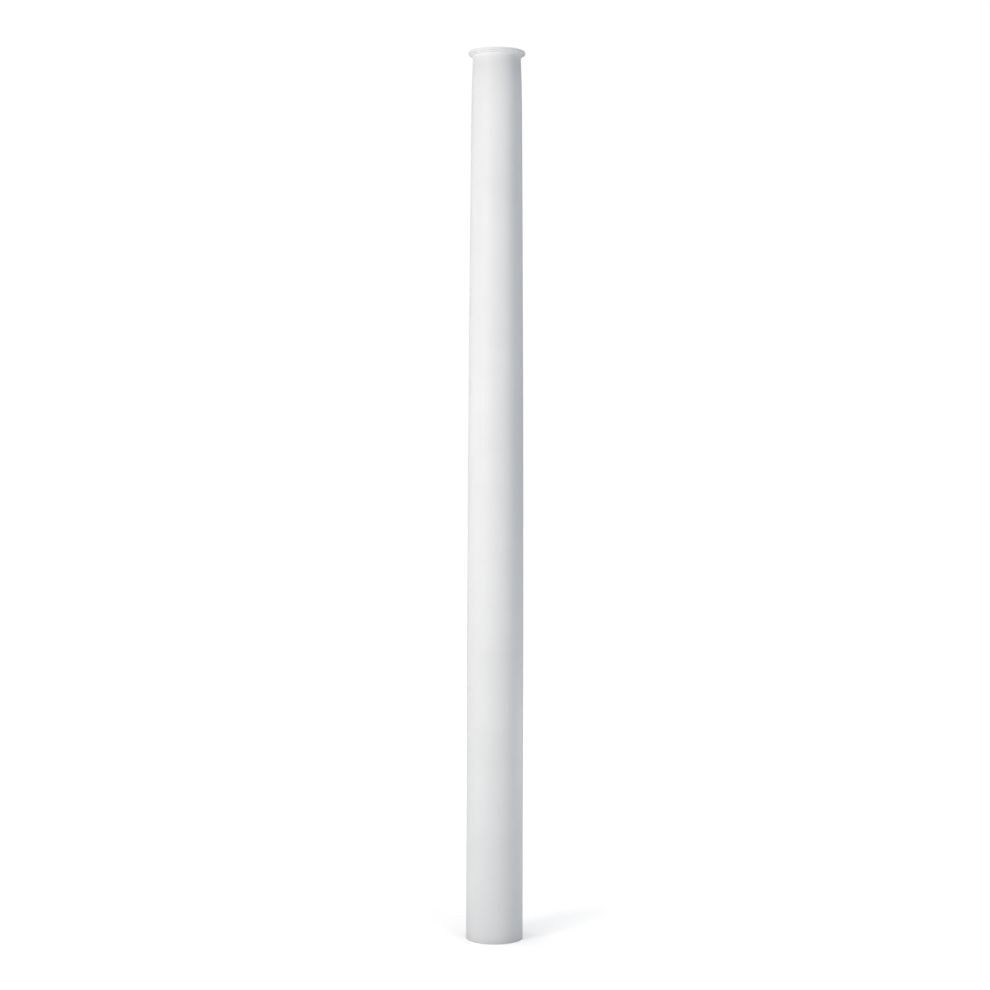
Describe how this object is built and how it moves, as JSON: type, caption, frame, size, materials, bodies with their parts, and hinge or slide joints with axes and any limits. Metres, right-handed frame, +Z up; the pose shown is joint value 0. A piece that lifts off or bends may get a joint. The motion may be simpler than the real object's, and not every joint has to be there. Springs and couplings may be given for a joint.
{
  "type": "column shaft",
  "caption": "Tall smooth round column shaft, white primed, with gentle entasis, a flat cut foot, and a collar of bead, fillet and apophyge moulded round its flat head.",
  "frame": {"origin": "middle of the flat cut foot, on the floor", "axes": "+Z up along the shaft's axis, from the foot to the collared head; X and Y alike, since the shaft is round"},
  "size_m": [0.141, 0.141, 2.2],
  "materials": {
    "white_primer": "satin-matt white primer on a smooth rigid foam moulding"
  },
  "bodies": {
    "root": {"column_shaft": "white_primer"}
  },
  "joints": []
}
